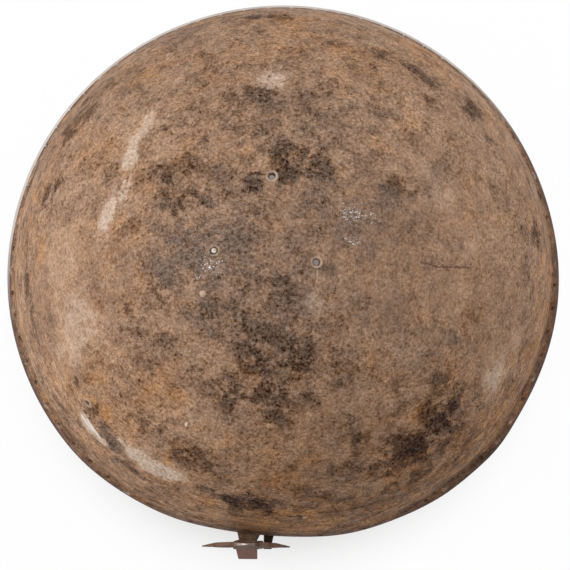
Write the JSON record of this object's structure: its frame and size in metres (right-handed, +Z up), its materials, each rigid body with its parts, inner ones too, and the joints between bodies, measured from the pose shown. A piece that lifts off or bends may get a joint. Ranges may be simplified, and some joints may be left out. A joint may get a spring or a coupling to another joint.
{
  "type": "helmet",
  "caption": "Domed iron skull with a turned-out pierced rim, and a sliding leaf-topped nose bar held in a riveted guide by a clamp screw.",
  "frame": {"origin": "middle of the rim's lower edge, where the wearer's head goes in", "axes": "+Z up to the crown, -Y to the brow and the nasal, +X to the side of the clamp screw (the wearer's left)"},
  "size_m": [0.207, 0.2099, 0.199],
  "materials": {
    "russet_iron": "old russet patina, pitted, with dark patches and worn pale streaks",
    "guide_iron": "dark olive-brown patina",
    "nasal_iron": "reddish brown patina, worn bright on the edges",
    "screw_iron": "nearly black patina",
    "bare_iron": "bright worn iron"
  },
  "bodies": {
    "helmet": {"skull": "russet_iron", "nasal_guide": "guide_iron", "foot_rivet_left": "russet_iron", "foot_rivet_right": "russet_iron", "crown_rivet_stub": "bare_iron", "crown_nub_rivet": "russet_iron"},
    "nasal": {"nasal_bar": "nasal_iron"},
    "screw": {"clamp_screw": "screw_iron", "thumb_piece": "screw_iron"}
  },
  "joints": [
    {"name": "nasal_slide", "type": "slide", "parent": "helmet", "child": "nasal", "axis": [0, 0, 1], "range_m": [0, 0.084]},
    {"name": "clamp_turn", "type": "hinge", "parent": "helmet", "child": "screw", "pos_m": [0, -0.10294, -0.0048], "axis": [0.9925, 0.1219, 0], "range_deg": [0, 540]}
  ]
}
